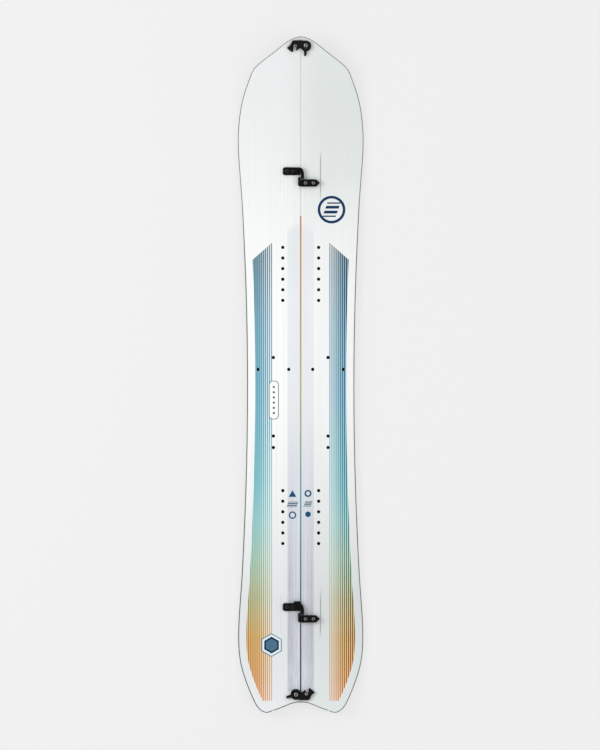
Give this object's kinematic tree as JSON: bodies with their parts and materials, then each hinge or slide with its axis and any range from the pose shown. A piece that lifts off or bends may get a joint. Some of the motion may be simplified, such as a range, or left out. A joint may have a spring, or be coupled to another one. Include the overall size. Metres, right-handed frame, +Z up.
{
  "type": "splitboard",
  "caption": "Swallowtail snowboard that parts along its middle into two skis, held by hook clips at the ends and lever clips between.",
  "frame": {"origin": "under the middle of the board, on the surface that the cambered base rests on", "axes": "+Y along the board to the nose, +X to the right half seen from above, +Z up from the base"},
  "size_m": [0.3014, 1.6195, 0.0512],
  "materials": {
    "base_sheet": "stone-ground sintered polyethylene",
    "steel_edge": "ground",
    "glass_laminate": "resin-wetted glass fibre",
    "wood_core": "laminated strips, sanded",
    "tip_spacer": "moulded",
    "sidewall": "planed",
    "topsheet": "satin white with printed stripes",
    "insert_steel": "turned stainless",
    "black_hardware": "black anodised",
    "black_plastic": "moulded",
    "black_steel": "blackened",
    "bright_steel": "bright stainless"
  },
  "bodies": {
    "left_half": {"front_clip_pin": "black_steel", "front_clip_plate": "black_hardware", "front_clip_plate_screws": "bright_steel", "left_base_sheet": "base_sheet", "left_clip_inserts": "insert_steel", "left_core": "wood_core", "left_inner_edge": "steel_edge", "left_inner_sidewall": "sidewall", "left_lower_glass": "glass_laminate", "left_nose_spacer": "tip_spacer", "left_outer_edge": "steel_edge", "left_outer_sidewall": "sidewall", "left_riser_inserts": "insert_steel", "left_stance_inserts": "insert_steel", "left_tail_edge": "steel_edge", "left_tail_spacer": "tip_spacer", "left_topsheet": "topsheet", "left_touring_inserts": "insert_steel", "left_upper_glass": "glass_laminate", "nose_clip_post": "bright_steel", "nose_clip_post_screw": "bright_steel", "rear_clip_pin": "black_steel", "rear_clip_plate": "black_hardware", "rear_clip_plate_screws": "bright_steel", "tail_clip_bush": "bright_steel", "tail_clip_pad": "black_plastic", "tail_clip_screw": "bright_steel", "tail_clip_spring_washer": "bright_steel"},
    "right_half": {"front_clip_hook": "black_hardware", "front_clip_hook_screws": "bright_steel", "nose_clip_bush": "bright_steel", "nose_clip_pad": "black_plastic", "nose_clip_screw": "bright_steel", "nose_clip_spring_washer": "bright_steel", "rear_clip_hook": "black_hardware", "rear_clip_hook_screws": "bright_steel", "right_base_sheet": "base_sheet", "right_clip_inserts": "insert_steel", "right_core": "wood_core", "right_inner_edge": "steel_edge", "right_inner_sidewall": "sidewall", "right_lower_glass": "glass_laminate", "right_nose_spacer": "tip_spacer", "right_outer_edge": "steel_edge", "right_outer_sidewall": "sidewall", "right_riser_inserts": "insert_steel", "right_stance_inserts": "insert_steel", "right_tail_edge": "steel_edge", "right_tail_spacer": "tip_spacer", "right_topsheet": "topsheet", "right_touring_inserts": "insert_steel", "right_upper_glass": "glass_laminate", "tail_clip_post": "bright_steel", "tail_clip_post_screw": "bright_steel"},
    "nose_hook": {"nose_clip_arm": "black_hardware"},
    "tail_hook": {"tail_clip_arm": "black_hardware"},
    "front_lever": {"front_clip_lever": "black_hardware"},
    "rear_lever": {"rear_clip_lever": "black_hardware"}
  },
  "joints": [
    {"name": "halves_part", "type": "slide", "parent": "left_half", "child": "right_half", "axis": [1, 0, 0], "range_m": [0, 0.016]},
    {"name": "nose_hook_turn", "type": "hinge", "parent": "right_half", "child": "nose_hook", "pos_m": [0.0122, 0.7884, 0.04204], "axis": [0, -0.3085, 0.9512], "range_deg": [-90.5, 0]},
    {"name": "tail_hook_turn", "type": "hinge", "parent": "left_half", "child": "tail_hook", "pos_m": [-0.0114, -0.766, 0.01897], "axis": [0, 0.1749, 0.9846], "range_deg": [-90.5, 0]},
    {"name": "front_lever_swing", "type": "hinge", "parent": "left_half", "child": "front_lever", "pos_m": [-0.0064, 0.489, 0.01031], "axis": [0, 0.0111, 0.9999], "range_deg": [0, 90.5]},
    {"name": "rear_lever_swing", "type": "hinge", "parent": "left_half", "child": "rear_lever", "pos_m": [-0.0064, -0.5565, 0.01033], "axis": [0, -0.0117, 0.9999], "range_deg": [0, 90.5]}
  ],
  "couplings": [
    {"joint": "nose_hook_turn", "follows": "halves_part", "rad_per_m": -98.175},
    {"joint": "tail_hook_turn", "follows": "halves_part", "rad_per_m": -98.175},
    {"joint": "front_lever_swing", "follows": "halves_part", "rad_per_m": 98.175},
    {"joint": "rear_lever_swing", "follows": "halves_part", "rad_per_m": 98.175}
  ]
}
